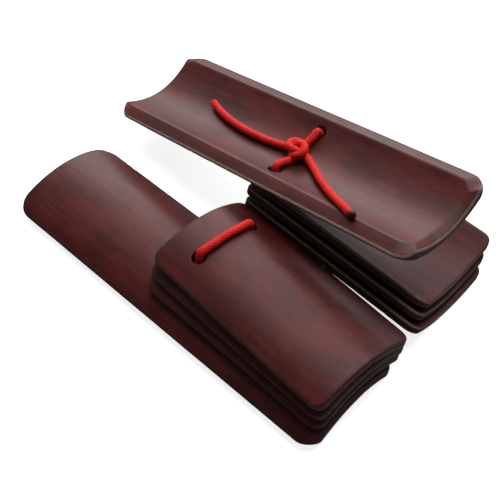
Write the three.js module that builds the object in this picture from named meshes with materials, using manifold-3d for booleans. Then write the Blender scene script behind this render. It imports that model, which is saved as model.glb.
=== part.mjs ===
// A pair of plate clappers (hand castanets). Each clapper is one long handle plate and three short clap
// plates of lacquered hardwood, tied together through two holes by one cord that is knotted in the hollow
// of the handle plate. Millimetres, +Z up. The left clapper lies with its rounded side up; the right one
// is turned over, its hollow side up, with its handle plate tipped and its clap plates fanned under it.
import * as THREE from 'three';
import { mergeVertices } from 'three/addons/utils/BufferGeometryUtils.js';
import Module from 'manifold-3d';

const wasm = await Module();
wasm.setup();

// ---- driving dimensions ----
const PLATE_WIDTH = 60;
const HANDLE_LENGTH = 193;
const CLAP_LENGTH = 106;
const HALF_ARC = THREE.MathUtils.degToRad(34); // half of the plate's rounded section, seen from its centre
const EDGE_DEPTH = 4; // the side face, cut square to the curve
const LAND_WIDTH = 7.4; // rim between the side face and the hollow
const CORD_RADIUS = 2;
const HOLE_RADIUS = 3.2;
const HOLE_SPACING = 31.5;
const HOLE_FROM_CORD_END = 17.6; // on a clap plate
const HANDLE_HOLE_X = HANDLE_LENGTH - CLAP_LENGTH + HOLE_FROM_CORD_END;
// the rim's land runs from the foot of the side face to the crest beside the hollow; a rise is a height
// over the base plane, so the handle plate's land slopes outward and the clap plate's slopes inward
const HANDLE = {
  length: HANDLE_LENGTH,
  cornerRadius: 8.6,
  crown: 5.4,
  footRise: 2,
  crestRise: 0,
  holeX: HANDLE_HOLE_X,
};
const CLAP = {
  length: CLAP_LENGTH,
  cornerRadius: 6,
  crown: 4.3,
  footRise: 0,
  crestRise: 2.6,
  holeX: HOLE_FROM_CORD_END,
};
const GAP = 0.3; // between parts that rest on each other
const LEG_INSET = 0.7; // a length of cord stops this far inside the hole it fills

// ---- worked out from them ----
const OUTER_RADIUS = PLATE_WIDTH / 2 / Math.sin(HALF_ARC);
const EDGE_DROP = EDGE_DEPTH * Math.cos(HALF_ARC);
const CREST_Y = PLATE_WIDTH / 2 - LAND_WIDTH;
const CROWN_TOP = EDGE_DROP + OUTER_RADIUS * (1 - Math.cos(HALF_ARC));

// height of the rounded outer face over the plate's base plane, y from its centre line
function outerHeight(y) {
  return EDGE_DROP + Math.sqrt(OUTER_RADIUS ** 2 - y ** 2) - OUTER_RADIUS * Math.cos(HALF_ARC);
}

// height of the hollow's face over the base plane, for y inside the crests
function hollowHeight(plate, y) {
  const depth = CROWN_TOP - plate.crown - plate.crestRise;
  return plate.crestRise + depth * (1 - (y / CREST_Y) ** 2);
}

// ---- solids ----
function toSolid(geometry) {
  const bare = geometry.clone();
  bare.deleteAttribute('normal');
  bare.deleteAttribute('uv');
  const merged = mergeVertices(bare);
  const mesh = new wasm.Mesh({
    numProp: 3,
    vertProperties: new Float32Array(merged.attributes.position.array),
    triVerts: new Uint32Array(merged.index.array),
  });
  return new wasm.Manifold(mesh);
}

function toGeometry(solid) {
  const mesh = solid.getMesh();
  const geometry = new THREE.BufferGeometry();
  geometry.setAttribute('position', new THREE.BufferAttribute(new Float32Array(mesh.vertProperties), 3));
  geometry.setIndex(new THREE.BufferAttribute(new Uint32Array(mesh.triVerts), 1));
  geometry.computeVertexNormals();
  return geometry;
}

// the plate's section in (y, z), drawn with its rounded side up
function plateSection(plate) {
  const arcSteps = 20;
  const hollowSteps = 12;
  const points = [];
  for (let i = 0; i <= arcSteps; i += 1) {
    const angle = HALF_ARC - (2 * HALF_ARC * i) / arcSteps;
    const y = OUTER_RADIUS * Math.sin(angle);
    points.push(new THREE.Vector2(y, outerHeight(y)));
  }
  const footY = PLATE_WIDTH / 2 - (EDGE_DROP - plate.footRise) * Math.tan(HALF_ARC);
  points.push(new THREE.Vector2(-footY, plate.footRise));
  for (let i = 0; i <= hollowSteps; i += 1) {
    const y = -CREST_Y + (2 * CREST_Y * i) / hollowSteps;
    points.push(new THREE.Vector2(y, hollowHeight(plate, y)));
  }
  points.push(new THREE.Vector2(footY, plate.footRise));
  return new THREE.Shape(points.reverse());
}

function roundedOutline(length, r) {
  const half = PLATE_WIDTH / 2;
  const outline = new THREE.Shape();
  outline.moveTo(r, -half);
  outline.absarc(length - r, -half + r, r, -Math.PI / 2, 0);
  outline.absarc(length - r, half - r, r, 0, Math.PI / 2);
  outline.absarc(r, half - r, r, Math.PI / 2, Math.PI);
  outline.absarc(r, -half + r, r, Math.PI, 1.5 * Math.PI);
  return outline;
}

// a plate from its cord or handle end (x = 0) to its far end, base plane at z = 0
function plateGeometry(plate) {
  const along = new THREE.ExtrudeGeometry(plateSection(plate), { depth: plate.length, bevelEnabled: false });
  const toX = new THREE.Matrix4().makeBasis(
    new THREE.Vector3(0, 1, 0),
    new THREE.Vector3(0, 0, 1),
    new THREE.Vector3(1, 0, 0),
  );
  along.applyMatrix4(toX);
  const over = 5;
  const cookie = new THREE.ExtrudeGeometry(roundedOutline(plate.length, plate.cornerRadius), {
    depth: CROWN_TOP + 2 * over,
    bevelEnabled: false,
    curveSegments: 6,
  });
  cookie.translate(0, 0, -over);
  let solid = toSolid(along).intersect(toSolid(cookie));
  for (const side of [-1, 1]) {
    const drill = new THREE.CylinderGeometry(HOLE_RADIUS, HOLE_RADIUS, 4 * CROWN_TOP, 20);
    drill.rotateX(Math.PI / 2);
    drill.translate(plate.holeX, (side * HOLE_SPACING) / 2, 0);
    solid = solid.subtract(toSolid(drill));
  }
  return toGeometry(solid);
}

// ---- cord ----
function cordAlong(points, steps) {
  const round = new THREE.Shape();
  round.absarc(0, 0, CORD_RADIUS, 0, 2 * Math.PI);
  const path = new THREE.CatmullRomCurve3(points, false, 'centripetal');
  return new THREE.ExtrudeGeometry(round, {
    steps,
    curveSegments: 5,
    bevelEnabled: false,
    extrudePath: path,
  });
}

// the length of cord inside one hole of a clap plate
function cordLeg(side) {
  const y = (side * HOLE_SPACING) / 2;
  const bottom = hollowHeight(CLAP, y) + LEG_INSET;
  const height = outerHeight(y) - LEG_INSET - bottom;
  const leg = new THREE.CylinderGeometry(CORD_RADIUS, CORD_RADIUS, height, 16);
  leg.rotateX(Math.PI / 2);
  leg.translate(CLAP.holeX, y, bottom + height / 2);
  return leg;
}

// the cord over the outermost clap plate, with its two ends down through that plate's holes
function cordBar() {
  const y = HOLE_SPACING / 2;
  const x = CLAP.holeX;
  const bend = CORD_RADIUS + 0.9;
  const rise = CORD_RADIUS + GAP;
  const half = [];
  half.push(new THREE.Vector3(x, y, hollowHeight(CLAP, y) + LEG_INSET));
  half.push(new THREE.Vector3(x, y, outerHeight(y) - CORD_RADIUS));
  half.push(new THREE.Vector3(x, y - 0.25 * bend, outerHeight(y) + 0.75 * bend));
  half.push(new THREE.Vector3(x, y - bend - 1, outerHeight(y - bend - 1) + rise + 0.2));
  half.push(new THREE.Vector3(x, y / 2, outerHeight(y / 2) + rise));
  const mirrored = half.map((p) => new THREE.Vector3(p.x, -p.y, p.z)).reverse();
  const top = new THREE.Vector3(x, 0, outerHeight(0) + rise);
  return cordAlong([...half, top, ...mirrored], 36);
}

const KNOT = { length: 12, width: 14, height: 7.4 };
const TIE_DROP = CORD_RADIUS + GAP; // cord centre under the hollow's face

// both ends of the cord come out of the handle plate's holes and meet in the knot
function cordTie() {
  const x = HANDLE.holeX;
  const y = HOLE_SPACING / 2;
  let solid = null;
  for (const side of [-1, 1]) {
    const limb = cordAlong(
      [
        new THREE.Vector3(x, side * y, outerHeight(y) - LEG_INSET),
        new THREE.Vector3(x, side * y, hollowHeight(HANDLE, y) + 1),
        new THREE.Vector3(x, side * (y - 0.9), hollowHeight(HANDLE, y) - 1.6),
        new THREE.Vector3(x, side * (y - 5), hollowHeight(HANDLE, y - 5) - TIE_DROP),
        new THREE.Vector3(x, side * 2, hollowHeight(HANDLE, 2) - TIE_DROP - 0.6),
      ],
      18,
    );
    solid = solid ? solid.add(toSolid(limb)) : toSolid(limb);
  }
  const knot = new THREE.SphereGeometry(0.5, 16, 12);
  knot.scale(KNOT.length, KNOT.width, KNOT.height);
  knot.translate(x, 0, hollowHeight(HANDLE, 0) - GAP - KNOT.height / 2 - 0.2);
  return toGeometry(solid.add(toSolid(knot)));
}

// a loose end of the cord in the hollow, from the knot along the plate; reach and drift are x and y
function cordTail(reach, drift) {
  const startX = HANDLE.holeX + Math.sign(reach) * (KNOT.length / 2 + CORD_RADIUS * 0.4);
  const steps = 6;
  const points = [];
  for (let i = 0; i <= steps; i += 1) {
    const t = i / steps;
    const y = drift * t * t;
    points.push(new THREE.Vector3(startX + reach * t, y, hollowHeight(HANDLE, y) - TIE_DROP));
  }
  return cordAlong(points, 18);
}

const LONG_TAIL = { reach: -66, drift: -12 };
const SHORT_TAIL = { reach: 42, drift: 17 };

// ---- materials ----
function lacqueredWood() {
  return new THREE.MeshStandardMaterial({ color: 0x3a1512, roughness: 0.4, metalness: 0 });
}

function redCord() {
  return new THREE.MeshStandardMaterial({ color: 0xd01818, roughness: 0.8, metalness: 0 });
}

// ---- how each plate lies at rest: middle of its base plane in mm, then turns in degrees ----
const LEFT_REST = {
  handle: { x: -0.3, y: 0.3, z: 1.4, yaw: 0, pitch: 0, roll: 0 },
  claps: [
    { x: 42.2, y: 5.9, z: 8.1, yaw: -1.2, pitch: 0, roll: -4 },
    { x: 42.3, y: 7.7, z: 14.1, yaw: -2.4, pitch: 0, roll: -4.6 },
    { x: 42.1, y: 9.1, z: 20.2, yaw: -4, pitch: 0, roll: -4.8 },
  ],
};
const RIGHT_REST = {
  handle: { x: -10.4, y: 70.8, z: 42.6, yaw: -2.4, pitch: -13.3, roll: 5.2 },
  claps: [
    { x: 39, y: 77.8, z: 28, yaw: 1.2, pitch: 3.1, roll: -3 },
    { x: 39.8, y: 74.9, z: 21.8, yaw: 0.4, pitch: 2.9, roll: -5 },
    { x: 41.6, y: 71.7, z: 15.7, yaw: -0.2, pitch: 2.6, roll: -7 },
  ],
};

function restMatrix(rest, length, turnedOver) {
  const toRad = THREE.MathUtils.degToRad;
  const turns = new THREE.Matrix4()
    .makeRotationZ(toRad(rest.yaw))
    .multiply(new THREE.Matrix4().makeRotationY(toRad(rest.pitch)))
    .multiply(new THREE.Matrix4().makeRotationX(toRad(rest.roll)));
  const matrix = new THREE.Matrix4().makeTranslation(rest.x, rest.y, rest.z).multiply(turns);
  if (turnedOver) {
    matrix.multiply(new THREE.Matrix4().makeRotationX(Math.PI));
  }
  return matrix.multiply(new THREE.Matrix4().makeTranslation(-length / 2, 0, 0));
}

function addMesh(holder, name, geometry, material) {
  const mesh = new THREE.Mesh(geometry, material);
  mesh.name = name;
  holder.add(mesh);
}

function plateHolder(rest, plate, turnedOver) {
  const holder = new THREE.Group();
  holder.applyMatrix4(restMatrix(rest, plate.length, turnedOver));
  return holder;
}

function clapper(side, rest, turnedOver) {
  const whole = new THREE.Group();
  const handle = plateHolder(rest.handle, HANDLE, turnedOver);
  addMesh(handle, `${side}_handle_plate`, plateGeometry(HANDLE), lacqueredWood());
  addMesh(handle, `${side}_cord_tie`, cordTie(), redCord());
  addMesh(handle, `${side}_cord_tail_long`, cordTail(LONG_TAIL.reach, LONG_TAIL.drift), redCord());
  addMesh(handle, `${side}_cord_tail_short`, cordTail(SHORT_TAIL.reach, SHORT_TAIL.drift), redCord());
  whole.add(handle);
  rest.claps.forEach((place, index) => {
    const number = index + 1;
    const clap = plateHolder(place, CLAP, turnedOver);
    addMesh(clap, `${side}_clap_plate_${number}`, plateGeometry(CLAP), lacqueredWood());
    if (number < rest.claps.length) {
      addMesh(clap, `${side}_cord_leg_${number}a`, cordLeg(-1), redCord());
      addMesh(clap, `${side}_cord_leg_${number}b`, cordLeg(1), redCord());
    } else {
      addMesh(clap, `${side}_cord_bar`, cordBar(), redCord());
    }
    whole.add(clap);
  });
  return whole;
}

const group = new THREE.Group();
group.add(clapper('left', LEFT_REST, false));
group.add(clapper('right', RIGHT_REST, true));

// the origin is under the middle of the pair, on the surface it lies on
const box = new THREE.Box3().setFromObject(group, true);
const middle = box.getCenter(new THREE.Vector3());
group.position.set(-middle.x, -middle.y, -box.min.z);

export default group;
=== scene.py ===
# The looks of a pair of plate clappers: eight lacquered wooden plates and two braided red cords, built
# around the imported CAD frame. Metres, +Z up. Every piece is made in a CAD plate's own axes: x from the
# handle end or cord end, y across, z up from the plane of the rim's foot to the rounded side.
import math

import bpy
import numpy as np
from mathutils import Matrix, Vector, noise


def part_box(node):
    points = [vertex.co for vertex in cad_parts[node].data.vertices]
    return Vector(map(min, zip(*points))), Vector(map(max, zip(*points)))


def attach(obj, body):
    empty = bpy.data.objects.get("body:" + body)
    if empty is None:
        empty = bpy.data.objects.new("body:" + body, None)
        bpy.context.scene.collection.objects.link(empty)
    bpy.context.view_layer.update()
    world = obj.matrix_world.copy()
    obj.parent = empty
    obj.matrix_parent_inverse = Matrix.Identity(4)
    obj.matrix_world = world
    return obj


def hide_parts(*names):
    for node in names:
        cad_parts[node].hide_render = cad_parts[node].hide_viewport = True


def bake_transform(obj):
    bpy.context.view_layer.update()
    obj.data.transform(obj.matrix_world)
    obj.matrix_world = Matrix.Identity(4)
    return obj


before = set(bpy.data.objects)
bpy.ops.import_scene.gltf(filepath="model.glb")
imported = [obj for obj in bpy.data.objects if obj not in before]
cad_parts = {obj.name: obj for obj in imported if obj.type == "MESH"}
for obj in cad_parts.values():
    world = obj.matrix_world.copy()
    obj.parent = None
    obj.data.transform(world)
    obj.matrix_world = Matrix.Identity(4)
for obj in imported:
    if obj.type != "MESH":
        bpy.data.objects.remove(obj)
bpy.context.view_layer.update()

MM = 0.001

# ---- driving sizes of a plate, apart from its length and width, which come from the frame ----
HALF_ARC = math.radians(34)
EDGE_DEPTH = 4 * MM
LAND_WIDTH = 7.4 * MM
TOP_FILLET = 1.3 * MM
FOOT_FILLET = 1 * MM
CREASE_FILLET = 1.1 * MM
CREASE_CORNER = 5 * MM
END_RIM = 0.9 * MM
HOLE_RADIUS = 3.2 * MM
HOLE_FLARE = 0.7 * MM
HOLE_SPACING = 31.5 * MM
HOLE_FROM_CORD_END = 17.6 * MM
CLAP_KIND = {
    "corner": 6 * MM,
    "crown": 4.3 * MM,
    "land_rise": 2.6 * MM,
    "foot_rise": 0,
    "far_rim": END_RIM,
    "far_slope": 0.3 * MM,
}
HANDLE_KIND = {
    "corner": 8.6 * MM,
    "crown": 5.4 * MM,
    "land_rise": 0,
    "foot_rise": 2 * MM,
    "far_rim": 4.3 * MM,
    "far_slope": 1.9 * MM,
}

CORD_RADIUS = 2 * MM
STRANDS = 8
STRAND_PITCH = 2.3 * MM
SIDES = ("left", "right")


# ---- where the plates lie ----
def plate_place(node, cord_node, cord_is_ahead):
    """The matrix from a plate's own axes to the row frame, and its size along them."""
    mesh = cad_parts[node].data
    points = np.array([v.co for v in mesh.vertices], float)
    spread = np.zeros((3, 3))
    for face in mesh.polygons:
        normal = np.array(face.normal)
        spread += face.area * np.outer(normal, normal)
    x, y, z = np.linalg.eigh(spread)[1].T
    across = points @ y
    across -= (across.max() + across.min()) / 2
    up = points @ z
    near_top = np.abs(across[up > up.max() - MM]).mean()
    near_foot = np.abs(across[up < up.min() + MM]).mean()
    if near_top > near_foot:
        z = -z
    low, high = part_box(cord_node)
    to_cord = np.array((low + high) / 2) - (points.max(0) + points.min(0)) / 2
    if (to_cord @ x > 0) != cord_is_ahead:
        x = -x
    y = np.cross(z, x)
    axes = np.array([x, y, z])
    local = points @ axes.T
    size = local.max(0) - local.min(0)
    origin = np.array([local[:, 0].min(), (local[:, 1].max() + local[:, 1].min()) / 2, local[:, 2].min()])
    matrix = Matrix.Identity(4)
    for row in range(3):
        for column in range(3):
            matrix[row][column] = axes[column][row]
        matrix[row][3] = (origin @ axes)[row]
    return matrix, size


class Plate:
    """One plate: its body, its place, its size and the heights of its two faces."""

    def __init__(self, side, number):
        self.side = side
        self.number = number
        self.is_handle = number == 0
        self.kind = HANDLE_KIND if self.is_handle else CLAP_KIND
        if self.is_handle:
            self.node = side + "_handle_plate"
            self.body = side + "_handle"
            cord_node = side + "_cord_tie"
        else:
            self.node = f"{side}_clap_plate_{number}"
            self.body = f"{side}_clap_{number}"
            cord_node = side + "_cord_bar" if number == 3 else f"{side}_cord_leg_{number}a"
        self.matrix, size = plate_place(self.node, cord_node, self.is_handle)
        self.length = float(size[0])
        self.width = float(size[1])
        self.top = float(size[2])
        self.hole_x = HOLE_FROM_CORD_END
        self.radius = self.width / 2 / math.sin(HALF_ARC)
        self.crest = self.width / 2 - LAND_WIDTH
        edge_depth = EDGE_DEPTH - self.kind["foot_rise"] / math.cos(HALF_ARC)
        self.foot = self.width / 2 - edge_depth * math.sin(HALF_ARC)

    def outer(self, y):
        """Height of the rounded face."""
        return self.top - self.radius + np.sqrt(self.radius ** 2 - np.asarray(y) ** 2)

    def under(self, y):
        """Height of the hollow, and of the rim land beside it."""
        across = np.abs(np.asarray(y))
        rise = self.kind["land_rise"]
        depth = self.top - self.kind["crown"] - rise
        hollow = rise + depth * (1 - (across / self.crest) ** 2)
        inward = np.clip((self.foot - across) / (self.foot - self.crest), 0, 1)
        land = self.kind["foot_rise"] * (1 - inward) + rise * inward
        return np.where(across < self.crest, hollow, land)

    def to_frame(self, point):
        return self.matrix @ Vector(point)


def load_plates():
    plates = {}
    for side in SIDES:
        for number in range(4):
            plates[side, number] = Plate(side, number)
        plates[side, 0].hole_x = plates[side, 0].length - plates[side, 1].length + HOLE_FROM_CORD_END
    return plates


# ---- the fine plate mesh: loops of points from the rounded face over the edge to the hollow ----
CORNER_STEPS = 7
ACROSS_STEPS = 32
LENGTH_STEP = 1.6 * MM
FILLET_STEPS = 4
FACE_INSETS = (9.5 * MM, 7 * MM, 5 * MM, 3.4 * MM, 2.2 * MM)
LEAST_CORNER = 2.5 * MM
HOLLOW_INSET = 2.4 * MM
NEAR_SLOPE = 0.2 * MM
SIDE_SHARE = 0.45  # the most of a side's depth that one fillet takes
RIM_SHARE = 0.4  # the most of the rim's width that one fillet takes

# the "edge" value of each part of the border, which the wood's colour, wear and painted highlight follow
FACE = 0
RIM = 0.25
BRINK = 0.6
FOOT = 0.8
SIDE = 1


def loop_counts(plate):
    straight = round(plate.length / LENGTH_STEP)
    return straight + 2 * CORNER_STEPS, ACROSS_STEPS + 2 * CORNER_STEPS


def outline(plate, handle_inset, far_inset, half, radius):
    """A rounded rectangle, counterclockwise from the middle of its first corner, with outward normals."""
    along, across = loop_counts(plate)
    x0, x1 = handle_inset, plate.length - far_inset
    corners = [(x1 - radius, -half + radius), (x1 - radius, half - radius)]
    corners += [(x0 + radius, half - radius), (x0 + radius, -half + radius)]
    points, normals = [], []
    start = np.array([x0 + radius, -half + radius])
    for index, corner in enumerate(corners):
        centre = np.array(corner)
        face = math.radians(-90 + 90 * index)
        steps = (along if index % 2 == 0 else across) - 2 * CORNER_STEPS
        for i in range(CORNER_STEPS):
            angle = face - math.radians(45) * (1 - i / CORNER_STEPS)
            normal = np.array([math.cos(angle), math.sin(angle)])
            points.append(start + radius * normal)
            normals.append(normal)
        normal = np.array([math.cos(face), math.sin(face)])
        for i in range(steps):
            points.append(start + (centre - start) * i / steps + radius * normal)
            normals.append(normal)
        for i in range(CORNER_STEPS):
            angle = face + math.radians(45) * i / CORNER_STEPS
            normal = np.array([math.cos(angle), math.sin(angle)])
            points.append(centre + radius * normal)
            normals.append(normal)
        start = centre
    return np.array(points), np.array(normals)


def lift(points, heights):
    return np.column_stack([points, heights])


def unit(vectors):
    return vectors / np.linalg.norm(vectors, axis=1)[:, None]


def rounded(a, corner, b, steps):
    """Loops that turn smoothly from a to b round the corner, ends included."""
    turns = np.linspace(0, 1, steps + 1)
    return [(1 - t) ** 2 * a + 2 * t * (1 - t) * corner + t ** 2 * b for t in turns]


def face_loop(plate, inset):
    """A loop on the rounded face, the given distance inside the outline."""
    corner = max(plate.kind["corner"] - inset, LEAST_CORNER)
    flat, _ = outline(plate, inset, inset, plate.width / 2 - inset, corner)
    return lift(flat, plate.outer(flat[:, 1]))


def hollow_loop(plate, inset):
    """A loop in the hollow, the given distance inside the crease between the rim and the hollow."""
    far_inset = plate.kind["far_rim"] + inset
    flat, _ = outline(plate, END_RIM + inset, far_inset, plate.crest - inset, CREASE_CORNER - inset)
    return lift(flat, plate.under(flat[:, 1]))


def foot_loop(plate, flat, normals):
    """Where the side meets the rim: leaning inward along the plate, upright at its ends."""
    lean = np.abs(normals[:, 1]) ** 2
    foot_flat = flat - normals * (plate.width / 2 - plate.foot) * lean[:, None]
    cut = np.where(normals[:, 0] > 0, plate.kind["far_slope"], NEAR_SLOPE) * (1 - lean)
    end_height = plate.under(foot_flat[:, 1]) * (1 - lean) + cut
    return lift(foot_flat, end_height + plate.kind["foot_rise"] * lean)


def plate_loops(plate):
    """All loops from the inner one on the rounded face to the inner one in the hollow, with an edge value."""
    loops, edge = [], []

    def add(new, value):
        for loop in new:
            loops.append(loop)
            edge.append(value)

    flat, normals = outline(plate, 0, 0, plate.width / 2, plate.kind["corner"])
    inner = flat - normals * TOP_FILLET
    brink = lift(inner, plate.outer(inner[:, 1]))
    corner = lift(flat, plate.outer(flat[:, 1]))
    foot = foot_loop(plate, flat, normals)
    down = unit(foot - corner)
    side_depth = np.linalg.norm(foot - corner, axis=1)[:, None]
    side_top = corner + down * np.minimum(TOP_FILLET, SIDE_SHARE * side_depth)
    side_foot = foot - down * np.minimum(FOOT_FILLET, SIDE_SHARE * side_depth)

    crease = hollow_loop(plate, 0)
    rim = crease - foot
    rim_width = np.linalg.norm(rim, axis=1)[:, None]
    rim_start = foot + rim / rim_width * np.minimum(FOOT_FILLET, RIM_SHARE * rim_width)
    rim_end = crease - rim / rim_width * np.minimum(CREASE_FILLET, RIM_SHARE * rim_width)
    hollow = hollow_loop(plate, CREASE_FILLET)

    add([face_loop(plate, inset) for inset in FACE_INSETS], FACE)
    add(rounded(brink, corner, side_top, FILLET_STEPS)[:-1], BRINK)
    add([side_top + (side_foot - side_top) * share for share in (0, 0.33, 0.67)], SIDE)
    add(rounded(side_foot, foot, rim_start, FILLET_STEPS)[:-1], FOOT)
    add([rim_start + (rim_end - rim_start) * share for share in (0, 0.3, 0.65)], RIM)
    add(rounded(rim_end, crease, hollow, FILLET_STEPS)[:-1], RIM)
    add([hollow, hollow_loop(plate, HOLLOW_INSET)], FACE)
    return loops, edge


def fill_grid(plate, loop, height):
    """A grid of points whose border is the loop: the border's four sides are blended across it."""
    along, across = loop_counts(plate)
    flat = loop[:, :2]
    low = flat[: along + 1]
    right = flat[along: along + across + 1]
    high = flat[along + across: 2 * along + across + 1][::-1]
    left = np.vstack([flat[2 * along + across:], flat[:1]])[::-1]
    u = np.linspace(0, 1, along + 1)[:, None, None]
    v = np.linspace(0, 1, across + 1)[None, :, None]
    grid = (1 - v) * low[:, None] + v * high[:, None] + (1 - u) * left[None] + u * right[None]
    grid -= (1 - u) * (1 - v) * low[0] + u * (1 - v) * low[-1] + (1 - u) * v * high[0] + u * v * high[-1]
    return np.dstack([grid, height(grid[:, :, 1])])


def border_of(grid_numbers):
    """The numbers of a grid's border points in the order of the loop."""
    low = grid_numbers[:, 0]
    right = grid_numbers[-1, :]
    return np.concatenate([low[:-1], right[:-1], grid_numbers[::-1, -1][:-1], grid_numbers[0, ::-1][:-1]])


def grid_faces(numbers, facing_up):
    a, b = numbers[:-1, :-1], numbers[1:, :-1]
    c, d = numbers[1:, 1:], numbers[:-1, 1:]
    quads = np.stack([a, b, c, d] if facing_up else [d, c, b, a], axis=-1)
    return quads.reshape(-1, 4).tolist()


def plate_mesh(plate):
    loops, edge = plate_loops(plate)
    top_grid = fill_grid(plate, loops[0], plate.outer)
    under_grid = fill_grid(plate, loops[-1], plate.under)
    points = [top_grid.reshape(-1, 3)]
    edges = [np.zeros(top_grid.shape[0] * top_grid.shape[1])]
    top_numbers = np.arange(len(points[0])).reshape(top_grid.shape[:2])
    rows = [border_of(top_numbers)]
    count = len(points[0])
    for loop, value in zip(loops[1:-1], edge[1:-1]):
        rows.append(np.arange(count, count + len(loop)))
        points.append(loop)
        edges.append(np.full(len(loop), value))
        count += len(loop)
    under_numbers = np.arange(count, count + under_grid.shape[0] * under_grid.shape[1])
    under_numbers = under_numbers.reshape(under_grid.shape[:2])
    points.append(under_grid.reshape(-1, 3))
    edges.append(np.zeros(under_numbers.size))
    rows.append(border_of(under_numbers))
    faces = grid_faces(top_numbers, True) + grid_faces(under_numbers, False)
    for inner, outer in zip(rows[:-1], rows[1:]):
        quads = np.stack([inner, outer, np.roll(outer, -1), np.roll(inner, -1)], axis=-1)
        faces += quads.tolist()
    mesh = bpy.data.meshes.new(plate.side + "_plate")
    mesh.from_pydata(np.vstack(points).tolist(), [], faces)
    values = mesh.attributes.new("edge", "FLOAT", "POINT")
    values.data.foreach_set("value", np.concatenate(edges).astype(np.float32))
    return mesh


WAVES = ((45, 0.05 * MM), (160, 0.02 * MM))  # how many to a metre and how high
KNOCK_SCALE = 420
KNOCK_RARITY = 0.42
KNOCK_DEPTH = 0.9 * MM
NOISE_STEP = 3.1  # no two plates share their noise
NOISE_SHIFT = {"left": 1.3, "right": 7.7}


def hand_finish(plate, mesh):
    """Slow waves left by scraping and sanding, and small knocks along the edges."""
    shift = Vector((NOISE_STEP * plate.number, NOISE_SHIFT[plate.side], 0))
    count = len(mesh.vertices)
    edge = np.zeros(count, np.float32)
    mesh.attributes["edge"].data.foreach_get("value", edge)
    points = np.zeros(3 * count, np.float32)
    mesh.vertices.foreach_get("co", points)
    points = points.reshape(-1, 3)
    normals = np.zeros(3 * count, np.float32)
    mesh.vertices.foreach_get("normal", normals)
    waves = np.zeros(count)
    for index, point in enumerate(points):
        place = Vector(point)
        waves[index] = sum(height * noise.noise(place * scale + shift) for scale, height in WAVES)
        if RIM < edge[index] < SIDE:
            knock = noise.noise(place * KNOCK_SCALE + shift) - KNOCK_RARITY
            waves[index] -= KNOCK_DEPTH * max(knock, 0)
    points = points + normals.reshape(-1, 3) * waves[:, None]
    mesh.vertices.foreach_set("co", points.astype(np.float32).ravel())
    mesh.update()


HOLE_STEPS = 40
DRILL_ABOVE_FACE = 2 * MM
FLARE_TURNS = (math.radians(20), math.radians(42), math.radians(66), math.radians(90))


def hole_cutter(plate, y):
    """A drill whose two mouths are rounded along the faces that it comes out of."""
    profile = [(HOLE_RADIUS + 2 * HOLE_FLARE, DRILL_ABOVE_FACE, 1)]
    for turn in FLARE_TURNS:
        radius = HOLE_RADIUS + HOLE_FLARE * (1 - math.sin(turn))
        profile.append((radius, -HOLE_FLARE * (1 - math.cos(turn)), 1))
    profile += [(radius, -height, 0) for radius, height, _ in profile[::-1]]
    vertices, faces = [], []
    for radius, height, on_outer in profile:
        for i in range(HOLE_STEPS):
            angle = 2 * math.pi * i / HOLE_STEPS
            px = plate.hole_x + radius * math.cos(angle)
            py = y + radius * math.sin(angle)
            face = plate.outer(py) if on_outer else plate.under(py)
            vertices.append((px, py, float(face) + height))
    for ring in range(len(profile) - 1):
        for i in range(HOLE_STEPS):
            j = (i + 1) % HOLE_STEPS
            a, b = ring * HOLE_STEPS, (ring + 1) * HOLE_STEPS
            faces.append((a + i, b + i, b + j, a + j))
    faces.append(list(range(HOLE_STEPS)))
    last = (len(profile) - 1) * HOLE_STEPS
    faces.append([last + i for i in reversed(range(HOLE_STEPS))])
    return vertices, faces


def cutter_object(plate):
    vertices, faces = [], []
    for y in (-HOLE_SPACING / 2, HOLE_SPACING / 2):
        new_vertices, new_faces = hole_cutter(plate, y)
        first = len(vertices)
        vertices += new_vertices
        faces += [[first + i for i in face] for face in new_faces]
    mesh = bpy.data.meshes.new("hole_cutter")
    mesh.from_pydata(vertices, [], faces)
    cutter = bpy.data.objects.new("hole_cutter", mesh)
    bpy.context.scene.collection.objects.link(cutter)
    return cutter


def apply_modifiers(piece):
    bpy.context.view_layer.update()
    graph = bpy.context.evaluated_depsgraph_get()
    mesh = bpy.data.meshes.new_from_object(piece.evaluated_get(graph))
    piece.modifiers.clear()
    piece.data = mesh


SHARP_ANGLE = math.radians(50)


def build_plate(plate, material):
    mesh = plate_mesh(plate)
    hand_finish(plate, mesh)
    name = f"{plate.side}_handle_wood" if plate.is_handle else f"{plate.side}_clap_wood_{plate.number}"
    piece = bpy.data.objects.new(name, mesh)
    bpy.context.scene.collection.objects.link(piece)
    cutter = cutter_object(plate)
    drill = piece.modifiers.new("holes", "BOOLEAN")
    drill.operation = "DIFFERENCE"
    drill.solver = "MANIFOLD"
    drill.object = cutter
    apply_modifiers(piece)
    bpy.data.objects.remove(cutter)
    piece.data.materials.clear()
    piece.data.materials.append(material)
    piece.data.shade_smooth()
    piece.data.set_sharp_from_angle(angle=SHARP_ANGLE)
    piece.matrix_world = plate.matrix
    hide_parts(plate.node)
    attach(piece, plate.body)


# ---- braided cord ----
AROUND = 48
CORD_STEP = 0.3 * MM
CURVE_STEPS = 24
BRAID_DEPTH = 0.12  # of the cord's radius
BLUNT_END = 0.08  # of the cord's radius: the flat in the middle of its rounded end
MELTED_LENGTH = 2.2 * CORD_RADIUS
MELTED_SWELL = 1.06
MELTED_DARKENING = 2.2
UPRIGHT_LIMIT = 0.3  # a line steeper than this takes its first direction from x instead of z


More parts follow.
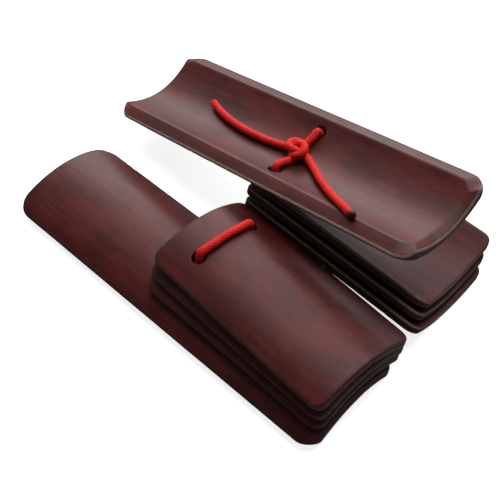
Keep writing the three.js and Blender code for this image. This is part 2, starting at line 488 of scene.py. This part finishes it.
def smooth_path(points, step):
    """Points spaced evenly along a centripetal Catmull-Rom curve through the given ones."""
    knots = [np.array(p, float) for p in points]
    knots = [2 * knots[0] - knots[1]] + knots + [2 * knots[-1] - knots[-2]]
    dense = []
    for p0, p1, p2, p3 in zip(knots, knots[1:], knots[2:], knots[3:]):
        t1 = np.linalg.norm(p1 - p0) ** 0.5
        t2 = t1 + np.linalg.norm(p2 - p1) ** 0.5
        t3 = t2 + np.linalg.norm(p3 - p2) ** 0.5
        for t in np.linspace(t1, t2, CURVE_STEPS, endpoint=False):
            a1 = (t1 - t) / t1 * p0 + t / t1 * p1
            a2 = (t2 - t) / (t2 - t1) * p1 + (t - t1) / (t2 - t1) * p2
            a3 = (t3 - t) / (t3 - t2) * p2 + (t - t2) / (t3 - t2) * p3
            b1 = (t2 - t) / t2 * a1 + t / t2 * a2
            b2 = (t3 - t) / (t3 - t1) * a2 + (t - t1) / (t3 - t1) * a3
            dense.append((t2 - t) / (t2 - t1) * b1 + (t - t1) / (t2 - t1) * b2)
    dense.append(knots[-2])
    dense = np.array(dense)
    run = np.concatenate([[0], np.cumsum(np.linalg.norm(np.diff(dense, axis=0), axis=1))])
    wanted = np.linspace(0, run[-1], max(int(run[-1] / step), 4) + 1)
    return np.column_stack([np.interp(wanted, run, dense[:, i]) for i in range(3)])


def braid_height(around, along):
    """0 in the valleys and 1 on the strands: the strands cross over and under in turn."""
    turn = STRANDS * around / (2 * math.pi)
    lead = along / STRAND_PITCH
    one = np.sin(math.pi * (turn + lead))
    other = np.sin(math.pi * (turn - lead))
    strong = np.where(one * other > 0, np.abs(one), np.abs(other))
    weak = np.where(one * other > 0, np.abs(other), np.abs(one))
    return strong ** 0.7 * weak ** 0.4


def cross_directions(centre):
    """Two directions across a line at each of its points, carried along it without twisting."""
    tangent = unit(np.gradient(centre, axis=0))
    side = np.cross(tangent[0], [0, 0, 1.0])
    if np.linalg.norm(side) < UPRIGHT_LIMIT:
        side = np.cross(tangent[0], [1.0, 0, 0])
    sides = []
    for t in tangent:
        side = side - t * (side @ t)
        side = side / np.linalg.norm(side)
        sides.append(side)
    return np.array(sides), np.cross(tangent, sides)


def cord_object(name, points, melted=False):
    """A closed braided tube along the points, with rounded ends; a melted end is dark and swollen."""
    centre = smooth_path(points, CORD_STEP)
    count = len(centre)
    sides, ups = cross_directions(centre)
    around = np.linspace(0, 2 * math.pi, AROUND, endpoint=False)
    along = np.arange(count) * CORD_STEP
    height = braid_height(around[None, :], along[:, None])
    to_end = np.minimum(along, along[-1] - along)
    dome = np.sqrt(np.clip(1 - (1 - np.clip(to_end / CORD_RADIUS, 0, 1)) ** 2, 0, 1))
    dome = dome * (1 - BLUNT_END) + BLUNT_END
    reach = CORD_RADIUS * (1 - BRAID_DEPTH + BRAID_DEPTH * height)
    dark = np.zeros_like(height)
    if melted:
        near = np.clip(1 - (along[-1] - along) / MELTED_LENGTH, 0, 1)[:, None]
        reach = reach * (1 - near) + CORD_RADIUS * MELTED_SWELL * near
        dark += np.clip(near * MELTED_DARKENING, 0, 1)
    reach = reach * dome[:, None]
    ring = np.cos(around)[None, :, None] * sides[:, None] + np.sin(around)[None, :, None] * ups[:, None]
    points = (centre[:, None] + ring * reach[:, :, None]).reshape(-1, 3)
    numbers = np.arange(count * AROUND).reshape(count, AROUND)
    beside = np.roll(numbers, -1, axis=1)
    quads = np.stack([numbers[:-1], beside[:-1], beside[1:], numbers[1:]], axis=-1).reshape(-1, 4)
    faces = quads.tolist()
    faces.append(numbers[0][::-1].tolist())
    faces.append(numbers[-1].tolist())
    mesh = bpy.data.meshes.new(name)
    mesh.from_pydata(points.tolist(), [], faces)
    for attribute, values in (("braid", height), ("melted", dark)):
        layer = mesh.attributes.new(attribute, "FLOAT", "POINT")
        layer.data.foreach_set("value", values.ravel().astype(np.float32))
    mesh.shade_smooth()
    piece = bpy.data.objects.new(name, mesh)
    bpy.context.scene.collection.objects.link(piece)
    return piece


def finish_cord(piece, material):
    piece.data.materials.append(material)


def in_frame(plate, points):
    return [plate.to_frame(point) for point in points]


BAR_BEND = CORD_RADIUS + 1.1 * MM
BAR_GAP = 0.1 * MM
BAR_SAG = 0.5 * MM


def cord_bar(plate, material):
    """The cord over the outermost clap plate, with its ends down through that plate's holes."""
    half = HOLE_SPACING / 2
    rise = CORD_RADIUS + BAR_GAP
    x = plate.hole_x

    def above(y, clear):
        return float(plate.outer(y)) + clear

    middle = float(plate.outer(half) + plate.under(half)) / 2
    past_bend = half - BAR_BEND - MM
    arm = [
        (x, half, middle),
        (x, half, above(half, -1.2 * MM)),
        (x, half - 0.3 * BAR_BEND, above(half, 0.72 * BAR_BEND)),
        (x + 0.4 * BAR_SAG, past_bend, above(past_bend, rise + BAR_GAP)),
        (x + BAR_SAG, half / 2, above(half / 2, rise)),
    ]
    top = (x + 0.8 * BAR_SAG, 0, above(0, rise))
    points = arm + [top] + [(px, -py, pz) for px, py, pz in arm[::-1]]
    piece = cord_object(f"{plate.side}_cord_bridge", in_frame(plate, points))
    finish_cord(piece, material)
    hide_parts(f"{plate.side}_cord_bar")
    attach(piece, plate.body)


def cord_leg(lower, upper, tag, y, material):
    """The cord between the holes of two plates."""
    ends = []
    for plate in (lower, upper):
        top = float(plate.outer(y))
        under = float(plate.under(y))
        middle = (plate.hole_x, y, (top + under) / 2)
        mouth = (plate.hole_x, y, top if plate is lower else under)
        ends.append((plate.to_frame(middle), plate.to_frame(mouth)))
    (start, start_mouth), (end, end_mouth) = ends
    if (end_mouth - start_mouth).dot(end - start) < 0:
        start_mouth = end_mouth = (start_mouth + end_mouth) / 2
    points = [start, (start + 2 * start_mouth) / 3, (end + 2 * end_mouth) / 3, end]
    piece = cord_object(f"{lower.side}_cord_run_{upper.number}{tag}", points)
    finish_cord(piece, material)
    if lower.number > 0:
        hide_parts(f"{lower.side}_cord_leg_{lower.number}{tag}")
    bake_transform(piece)


# one cord end through the knot, in mm from the knot's middle: along the plate, across it, off the hollow
KNOT_TURN = (
    (0.3, -9, 2.1), (1.0, -5, 1.9), (1.5, 0.5, 1.8), (1.0, 3.3, 2.2), (-1.6, 4.3, 3.7),
    (-4.2, 3.4, 4.8), (-5.0, 0.7, 5.7), (-3.4, -1.7, 6.0), (-0.4, -2.4, 5.9), (2.8, -1.5, 4.6),
    (5.6, -0.6, 2.9),
)
LONG_TAIL = {"reach": -60.5 * MM, "drift": -6 * MM, "turn": 3, "bow": 2 * MM}
SHORT_TAIL = {"reach": 50 * MM, "drift": 24 * MM, "turn": 1, "bow": 2 * MM}
LOW_TAIL = {"reach": 50 * MM, "drift": 12 * MM, "turn": 1, "bow": 2 * MM}  # kept up in the hollow
TAIL_START = 6.8 * MM
TAIL_CLEAR = 2.1 * MM
TAIL_STEPS = 6
# out of the hole: how far towards the knot, and how far off the hollow
HOLE_TURN = ((0, -0.8 * MM), (1.1 * MM, 1.7 * MM), (5 * MM, 2.2 * MM))


def cord_end(plate, outward, tail, name, nodes, melted, material):
    """One end of the cord: out of a hole, along the hollow, through the knot and on as a loose tail."""
    half = HOLE_SPACING / 2
    x = plate.hole_x

    def off_hollow(px, py, clear):
        return px, py, float(plate.under(py)) - clear

    points = [(x, outward * half, float(plate.outer(half) + plate.under(half)) / 2)]
    for inward, clear in HOLE_TURN:
        points.append(off_hollow(x, outward * (half - inward), clear))
    along = math.copysign(1, tail["reach"])
    for px, py, clear in KNOT_TURN:
        points.append(off_hollow(x + along * px * MM, -outward * py * MM, clear * MM))
    for i in range(1, TAIL_STEPS + 1):
        share = i / TAIL_STEPS
        reach = along * TAIL_START + tail["reach"] * share
        aside = tail["drift"] * share ** tail["turn"] + tail["bow"] * math.sin(math.pi * share)
        points.append(off_hollow(x + reach, aside, TAIL_CLEAR))
    piece = cord_object(name, in_frame(plate, points), melted)
    finish_cord(piece, material)
    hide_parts(*nodes)
    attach(piece, plate.body)


def build_cord(plates, side, short_tail, material):
    cord_bar(plates[side, 3], material)
    for number in (1, 2, 3):
        for tag, sign in (("a", -1), ("b", 1)):
            cord_leg(plates[side, number - 1], plates[side, number], tag, sign * HOLE_SPACING / 2, material)
    handle = plates[side, 0]
    short_nodes = (side + "_cord_tie", side + "_cord_tail_short")
    cord_end(handle, 1, short_tail, side + "_cord_end_short", short_nodes, True, material)
    long_nodes = (side + "_cord_tail_long",)
    cord_end(handle, -1, LONG_TAIL, side + "_cord_end_long", long_nodes, False, material)


# ---- materials: colours are linear red, green and blue; noise scales are waves to a metre ----
class Nodes:
    """A short way to write a node tree."""

    def __init__(self, tree):
        self.tree = tree
        tree.nodes.clear()

    def add(self, kind, **settings):
        node = self.tree.nodes.new(kind)
        for key, value in settings.items():
            setattr(node, key, value)
        return node

    def link(self, output, target):
        self.tree.links.new(output, target)

    def noise(self, vector, scale, detail=3, roughness=0.5):
        node = self.add("ShaderNodeTexNoise")
        node.inputs["Scale"].default_value = scale
        node.inputs["Detail"].default_value = detail
        node.inputs["Roughness"].default_value = roughness
        self.link(vector, node.inputs["Vector"])
        return node.outputs["Fac"]

    def grain(self, vector, along, across, detail, roughness):
        """Noise drawn out along x, with its waves to a metre along and across."""
        stretch = self.add("ShaderNodeMapping")
        stretch.inputs["Scale"].default_value = (along, across, across)
        self.link(vector, stretch.inputs["Vector"])
        return self.noise(stretch.outputs["Vector"], 1.0, detail, roughness)

    def ramp(self, value, low, high, new_low, new_high):
        node = self.add("ShaderNodeMapRange", clamp=True)
        node.inputs["From Min"].default_value = low
        node.inputs["From Max"].default_value = high
        node.inputs["To Min"].default_value = new_low
        node.inputs["To Max"].default_value = new_high
        self.link(value, node.inputs["Value"])
        return node.outputs["Result"]

    def maths(self, operation, a, b):
        node = self.add("ShaderNodeMath", operation=operation)
        for socket, value in zip(node.inputs, (a, b)):
            if isinstance(value, (int, float)):
                socket.default_value = value
            else:
                self.link(value, socket)
        return node.outputs["Value"]

    def mix(self, share, a, b):
        node = self.add("ShaderNodeMix", data_type="RGBA")
        sockets = [s for s in node.inputs if s.type == "RGBA"]
        for socket, value in zip(sockets, (a, b)):
            if isinstance(value, tuple):
                socket.default_value = (*value, 1)
            else:
                self.link(value, socket)
        factor = [s for s in node.inputs if s.name == "Factor" and s.type == "VALUE"][0]
        if isinstance(share, (int, float)):
            factor.default_value = share
        else:
            self.link(share, factor)
        return [s for s in node.outputs if s.type == "RGBA"][0]

    def bump(self, height, distance, strength, normal=None):
        node = self.add("ShaderNodeBump")
        node.inputs["Distance"].default_value = distance
        node.inputs["Strength"].default_value = strength
        self.link(height, node.inputs["Height"])
        if normal is not None:
            self.link(normal, node.inputs["Normal"])
        return node.outputs["Normal"]


def new_material(name):
    material = bpy.data.materials.new(name)
    material.use_nodes = True
    nodes = Nodes(material.node_tree)
    shader = nodes.add("ShaderNodeBsdfPrincipled")
    output = nodes.add("ShaderNodeOutputMaterial")
    nodes.link(shader.outputs["BSDF"], output.inputs["Surface"])
    return material, nodes, shader


def set_inputs(shader, values):
    for name, value in values.items():
        shader.inputs[name].default_value = value


DARK_GRAIN = (0.056, 0.0072, 0.0064)
LIGHT_GRAIN = (0.106, 0.0175, 0.0145)
RED_CLOUD = (0.120, 0.0115, 0.0095)
DARK_CLOUD = (0.022, 0.0032, 0.0028)
DARK_STREAK = (0.028, 0.0040, 0.0034)
PORE = (0.012, 0.003, 0.003)
DUST = (0.30, 0.22, 0.20)
BARE_DARK = (0.012, 0.0062, 0.0055)
BARE_LIGHT = (0.060, 0.040, 0.035)
# the light line along the rim's foot: partly wear, partly a painted highlight
WEAR_AND_HIGHLIGHT = (0.40, 0.28, 0.24)
EDGE_COVER = 0.8
GRAIN_SPREAD = 3.0  # metres: how far apart two plates may be in the same block of noise
LACQUER = {
    "Specular IOR Level": 0.24,
    "Specular Tint": (1, 0.8, 0.78, 1),
    "Coat Weight": 0.07,
    "Coat Roughness": 0.25,
}


def wood_place(nodes):
    """The place on a plate, moved at random so that no two plates have the same grain."""
    place = nodes.add("ShaderNodeTexCoord").outputs["Object"]
    chance = nodes.add("ShaderNodeObjectInfo").outputs["Random"]
    shifted = nodes.add("ShaderNodeVectorMath", operation="ADD")
    nodes.link(place, shifted.inputs[0])
    nodes.link(nodes.maths("MULTIPLY", chance, GRAIN_SPREAD), shifted.inputs[1])
    return shifted.outputs["Vector"]


def wood_body(nodes, place, grain, cloud):
    """Grain of two tones under red clouds, dark clouds and streaks, with pores and a little dust."""
    dark_cloud = nodes.grain(place, 45, 90, 4, 0.6)
    streak = nodes.grain(place, 14, 260, 4, 0.65)
    pores = nodes.grain(place, 260, 3400, 2, 0.5)
    dust = nodes.noise(place, 2600, 1, 0.5)
    body = nodes.mix(nodes.ramp(grain, 0.3, 0.7, 0, 1), DARK_GRAIN, LIGHT_GRAIN)
    body = nodes.mix(nodes.ramp(cloud, 0.42, 0.66, 0, 0.6), body, RED_CLOUD)
    body = nodes.mix(nodes.ramp(dark_cloud, 0.45, 0.65, 0, 0.6), body, DARK_CLOUD)
    body = nodes.mix(nodes.ramp(streak, 0.5, 0.7, 0, 0.5), body, DARK_STREAK)
    body = nodes.mix(nodes.ramp(pores, 0.62, 0.7, 0, 0.35), body, PORE)
    return nodes.mix(nodes.ramp(dust, 0.76, 0.8, 0, 0.4), body, DUST)


def wood_edges(nodes, body, edge, side, speck):
    """The plate's speckled sides, and a light line along the rim's foot that is partly wear and partly a
    painted highlight.
    """
    bare = nodes.mix(nodes.ramp(speck, 0.42, 0.62, 0, 1), BARE_DARK, BARE_LIGHT)
    body = nodes.mix(nodes.maths("MULTIPLY", side, EDGE_COVER), body, bare)
    from_foot = nodes.maths("ABSOLUTE", nodes.maths("SUBTRACT", edge, FOOT), 0)
    at_foot = nodes.ramp(from_foot, 0, 0.1, 1, 0)
    # the light line at the rim's foot is partly wear and partly a painted highlight
    wear_and_highlight = nodes.maths("MULTIPLY", at_foot, nodes.ramp(speck, 0.35, 0.6, 0.3, 1))
    return nodes.mix(nodes.maths("MULTIPLY", wear_and_highlight, EDGE_COVER), body, WEAR_AND_HIGHLIGHT)


def wood_relief(nodes, place, side, speck):
    """Slow waves in the lacquer, fine grain and roughly cut sides."""
    fine = nodes.grain(place, 140, 2600, 3, 0.6)
    relief = nodes.bump(nodes.noise(place, 260, 4, 0.6), 0.12 * MM, 0.6)
    relief = nodes.bump(fine, 0.02 * MM, 0.5, relief)
    return nodes.bump(nodes.maths("MULTIPLY", speck, side), 0.1 * MM, 0.8, relief)


def lacquered_wood():
    """Dark red-brown wood under a thin clear coat, with edges lighter: partly wear, partly a painted
    highlight along the rim's foot.
    """
    material, nodes, shader = new_material("lacquered_wood")
    place = wood_place(nodes)
    grain = nodes.grain(place, 25, 520, 5, 0.6)
    cloud = nodes.grain(place, 30, 60, 3, 0.55)
    speck = nodes.noise(place, 1500, 4, 0.7)
    edge = nodes.add("ShaderNodeAttribute", attribute_name="edge").outputs["Fac"]
    side = nodes.ramp(edge, 0.15, 0.9, 0, 1)
    body = wood_body(nodes, place, grain, cloud)
    nodes.link(wood_edges(nodes, body, edge, side, speck), shader.inputs["Base Color"])
    rough = nodes.ramp(nodes.maths("ADD", nodes.maths("MULTIPLY", grain, 0.6), cloud), 0.5, 1.1, 0.38, 0.50)
    rough = nodes.maths("ADD", rough, nodes.maths("MULTIPLY", side, 0.15))
    nodes.link(rough, shader.inputs["Roughness"])
    set_inputs(shader, LACQUER)
    nodes.link(wood_relief(nodes, place, side, speck), shader.inputs["Normal"])
    return material


DEEP_RED = (0.66, 0.010, 0.009)
BRIGHT_RED = (0.88, 0.035, 0.028)
# painted shade in the valleys between the braid's strands
VALLEY_SHADE_RED = (0.30, 0.001, 0.002)
FIBRE_RED = (1.0, 0.085, 0.065)
MELTED_BLACK = (0.035, 0.004, 0.004)
CORD_ROUGHNESS = 0.62
MELTED_ROUGHNESS = 0.3
CORD_FINISH = {
    "Specular IOR Level": 0.15,
    "Sheen Weight": 0.12,
    "Sheen Roughness": 0.5,
    "Sheen Tint": (1, 0.15, 0.12, 1),
}


def red_cord():
    """Bright red braid: the strands catch the light, their valleys get a painted shade of deep red, the
    melted end is dark.
    """
    material, nodes, shader = new_material("red_cord")
    place = nodes.add("ShaderNodeTexCoord").outputs["Object"]
    braid = nodes.add("ShaderNodeAttribute", attribute_name="braid").outputs["Fac"]
    melted = nodes.add("ShaderNodeAttribute", attribute_name="melted").outputs["Fac"]
    strand = nodes.noise(place, 900, 3, 0.6)
    fibre = nodes.noise(place, 5200, 3, 0.6)
    colour = nodes.mix(nodes.ramp(strand, 0.35, 0.65, 0, 1), DEEP_RED, BRIGHT_RED)
    # painted shade: the valleys between the strands are darkened
    colour = nodes.mix(nodes.ramp(braid, 0.15, 0.7, 0.75, 0), colour, VALLEY_SHADE_RED)
    colour = nodes.mix(nodes.ramp(fibre, 0.6, 0.75, 0, 0.3), colour, FIBRE_RED)
    colour = nodes.mix(melted, colour, MELTED_BLACK)
    nodes.link(colour, shader.inputs["Base Color"])
    rough = nodes.ramp(melted, 0, 1, CORD_ROUGHNESS, MELTED_ROUGHNESS)
    nodes.link(rough, shader.inputs["Roughness"])
    set_inputs(shader, CORD_FINISH)
    nodes.link(nodes.bump(fibre, 0.08 * MM, 0.6), shader.inputs["Normal"])
    return material


# ---- stage ----
VIEW_AZIMUTH = math.radians(40.3)  # the camera's direction of view, turned from +Y towards -X
VIEW_DOWN = math.radians(50.65)
VIEW_ROLL = math.radians(3.44)
CAMERA_PLACE = Vector((0.1942, -0.2257, 0.3542))
LENS = 67.13
SENSOR = 36
NEAR_CLIP = 0.01

FLOOR_HALF = 1.5
FLOOR_DROP = 0.1 * MM
FLOOR_TONES = ((0.90, 0.90, 0.90), (0.93, 0.93, 0.93))
FLOOR_BOUNCE = (0.30, 0.30, 0.30)  # what the object gets back from the table
FLOOR_GLOW = 0.8  # the table as the camera sees it is lit from below too, so shadows on it stay light
FLOOR_FINISH = {"Roughness": 0.9, "Specular IOR Level": 0.0, "Emission Color": (1, 1, 1, 1)}

DIM_SIDE = 0.13
BRIGHT_SIDE = 1.25
LIGHTS = {
    "overhead": {"place": (-0.15, 0.45, 1.1), "target": (0, 0, 0), "size": (1.0, 1.0), "power": 11},
    "back": {"place": (-0.7, 0.9, 0.55), "target": (0, 0, 0.02), "size": (1.2, 0.6), "power": 9},
}


def place_camera():
    forward = Vector((
        -math.sin(VIEW_AZIMUTH) * math.cos(VIEW_DOWN),
        math.cos(VIEW_AZIMUTH) * math.cos(VIEW_DOWN),
        -math.sin(VIEW_DOWN),
    ))
    right = forward.cross(Vector((0, 0, 1))).normalized()
    up = right.cross(forward)
    turned_right = right * math.cos(VIEW_ROLL) + up * math.sin(VIEW_ROLL)
    turned_up = up * math.cos(VIEW_ROLL) - right * math.sin(VIEW_ROLL)
    matrix = Matrix.Identity(4)
    for column, axis in enumerate((turned_right, turned_up, -forward)):
        for row in range(3):
            matrix[row][column] = axis[row]
    matrix.translation = CAMERA_PLACE
    data = bpy.data.cameras.new("camera")
    data.lens = LENS
    data.sensor_width = SENSOR
    data.clip_start = NEAR_CLIP
    camera = bpy.data.objects.new("camera", data)
    bpy.context.scene.collection.objects.link(camera)
    camera.matrix_world = matrix
    bpy.context.scene.camera = camera


def place_floor():
    half = FLOOR_HALF
    mesh = bpy.data.meshes.new("floor")
    corners = [(-half, -half, 0), (half, -half, 0), (half, half, 0), (-half, half, 0)]
    mesh.from_pydata(corners, [], [(0, 1, 2, 3)])
    material, nodes, shader = new_material("pale_floor")
    place = nodes.add("ShaderNodeTexCoord").outputs["Object"]
    tone = nodes.ramp(nodes.noise(place, 3, 2, 0.5), 0.3, 0.7, 0, 1)
    seen = nodes.add("ShaderNodeLightPath").outputs["Is Camera Ray"]
    tone = nodes.mix(tone, *FLOOR_TONES)
    nodes.link(nodes.mix(seen, FLOOR_BOUNCE, tone), shader.inputs["Base Color"])
    set_inputs(shader, FLOOR_FINISH)
    nodes.link(nodes.maths("MULTIPLY", seen, FLOOR_GLOW), shader.inputs["Emission Strength"])
    mesh.materials.append(material)
    floor = bpy.data.objects.new("floor", mesh)
    bpy.context.scene.collection.objects.link(floor)
    floor.location.z = -FLOOR_DROP


def place_world():
    """Soft studio light: bright behind the object, dim overhead and on the camera's side."""
    world = bpy.data.worlds.new("studio")
    bpy.context.scene.world = world
    world.use_nodes = True
    nodes = Nodes(world.node_tree)
    direction = nodes.add("ShaderNodeTexCoord").outputs["Generated"]
    back = Vector((-math.sin(VIEW_AZIMUTH), math.cos(VIEW_AZIMUTH), 0.15)).normalized()
    dot = nodes.add("ShaderNodeVectorMath", operation="DOT_PRODUCT")
    nodes.link(direction, dot.inputs[0])
    dot.inputs[1].default_value = back
    strength = nodes.ramp(dot.outputs["Value"], 0.15, 0.95, DIM_SIDE, BRIGHT_SIDE)
    background = nodes.add("ShaderNodeBackground")
    nodes.link(strength, background.inputs["Strength"])
    output = nodes.add("ShaderNodeOutputWorld")
    nodes.link(background.outputs["Background"], output.inputs["Surface"])


def place_light(name, place, target, size, power):
    data = bpy.data.lights.new(name, "AREA")
    data.shape = "RECTANGLE"
    data.size, data.size_y = size
    data.energy = power
    light = bpy.data.objects.new(name, data)
    bpy.context.scene.collection.objects.link(light)
    light.location = place
    light.rotation_euler = (Vector(target) - Vector(place)).to_track_quat("-Z", "Y").to_euler()


def main():
    wood = lacquered_wood()
    cord = red_cord()
    plates = load_plates()
    for plate in plates.values():
        build_plate(plate, wood)
    build_cord(plates, "left", LOW_TAIL, cord)
    build_cord(plates, "right", SHORT_TAIL, cord)
    place_floor()
    place_world()
    for name, light in LIGHTS.items():
        place_light(name, **light)
    place_camera()
    view = bpy.context.scene.view_settings
    view.view_transform = "Standard"
    view.look = "None"


main()
